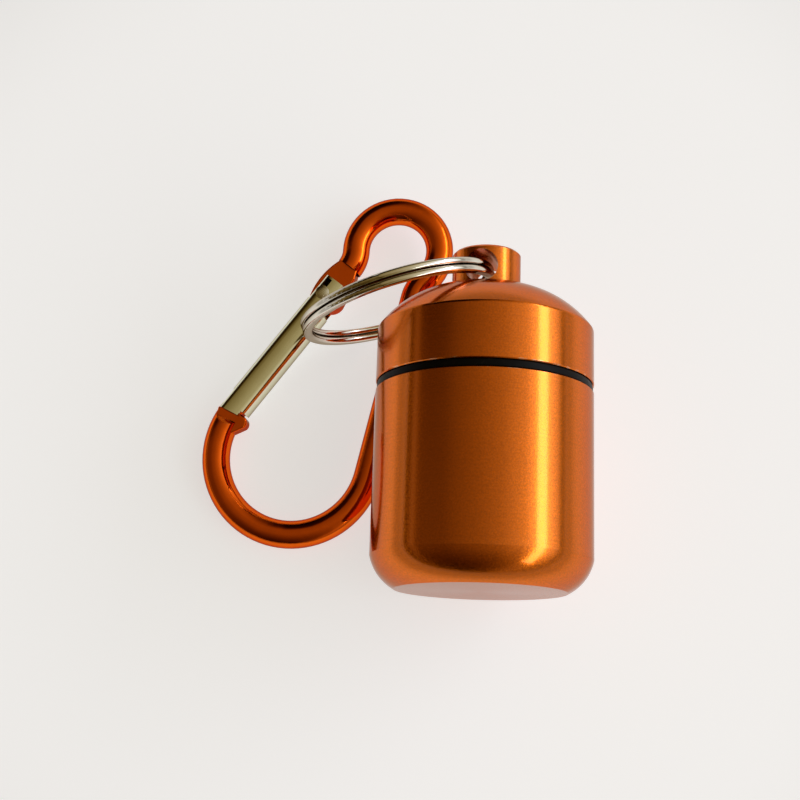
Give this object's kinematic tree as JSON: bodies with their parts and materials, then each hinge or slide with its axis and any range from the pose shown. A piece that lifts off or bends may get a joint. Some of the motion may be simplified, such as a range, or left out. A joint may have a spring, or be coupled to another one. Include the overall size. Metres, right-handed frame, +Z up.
{
  "type": "pill fob keychain",
  "caption": "Small anodised screw-cap canister for pills, sealed by a rubber ring and hung by a split ring on a gourd-shaped snap hook with a spring gate",
  "frame": {"origin": "centre of the canister's flat base face", "axes": "+Y along the canister from its base to the lug, +Z up from the table that it lies on, +X to the side away from the snap hook"},
  "size_m": [0.0471, 0.0502, 0.0251],
  "materials": {
    "canister_anodised": "turned, orange anodised, satin sheen",
    "seal_rubber": "moulded, dull black",
    "ring_nickel": "flat steel wire, nickel plated, bright",
    "hook_anodised": "bent rod, red-orange anodised, glossy",
    "gate_steel": "rolled sheet steel, nickel plated",
    "rivet_steel": "headed steel, nickel plated",
    "plunger_steel": "turned steel, bare",
    "spring_wire": "drawn spring wire, bare"
  },
  "bodies": {
    "canister": {"canister_body": "canister_anodised"},
    "seal": {"seal_ring": "seal_rubber"},
    "cap": {"cap": "canister_anodised"},
    "ring": {"split_ring": "ring_nickel"},
    "hook": {"carabiner_frame": "hook_anodised"},
    "gate": {"gate": "gate_steel", "gate_rivet": "rivet_steel", "gate_spring": "spring_wire"},
    "plunger": {"gate_plunger": "plunger_steel"}
  },
  "joints": [
    {"name": "cap_lift", "type": "slide", "parent": "canister", "child": "seal", "axis": [0, 1, 0], "range_m": [0, 0.00751]},
    {"name": "cap_turn", "type": "hinge", "parent": "seal", "child": "cap", "pos_m": [0, 0.02352, 0], "axis": [0, 1, 0], "range_deg": [0, 1800]},
    {"name": "ring_swing", "type": "hinge", "parent": "cap", "child": "ring", "pos_m": [0, 0.03695, 0], "axis": [0.1736, 0, -0.9848], "range_deg": [0, 150]},
    {"name": "hook_slide", "type": "hinge", "parent": "ring", "child": "hook", "pos_m": [-0.01026, 0.03366, -0.0007], "axis": [-0.3084, 0.9493, 0.061], "range_deg": [0, 90]},
    {"name": "gate_swing", "type": "hinge", "parent": "hook", "child": "gate", "pos_m": [-0.02032, 0.03732, -0.00955], "axis": [-0.0177, -0.0386, 0.9991], "range_deg": [0, 25], "stiffness_Nm_per_rad": 0.006, "springref_deg": -34.38},
    {"name": "plunger_push", "type": "slide", "parent": "gate", "child": "plunger", "axis": [-0.5959, -0.802, -0.0415], "range_m": [0, 0.0003996], "deforming": ["gate_spring"]}
  ],
  "couplings": [
    {"joint": "cap_lift", "follows": "cap_turn", "m_per_rad": 0.00023873},
    {"joint": "plunger_push", "follows": "gate_swing", "m_per_rad": 0.00089284}
  ]
}
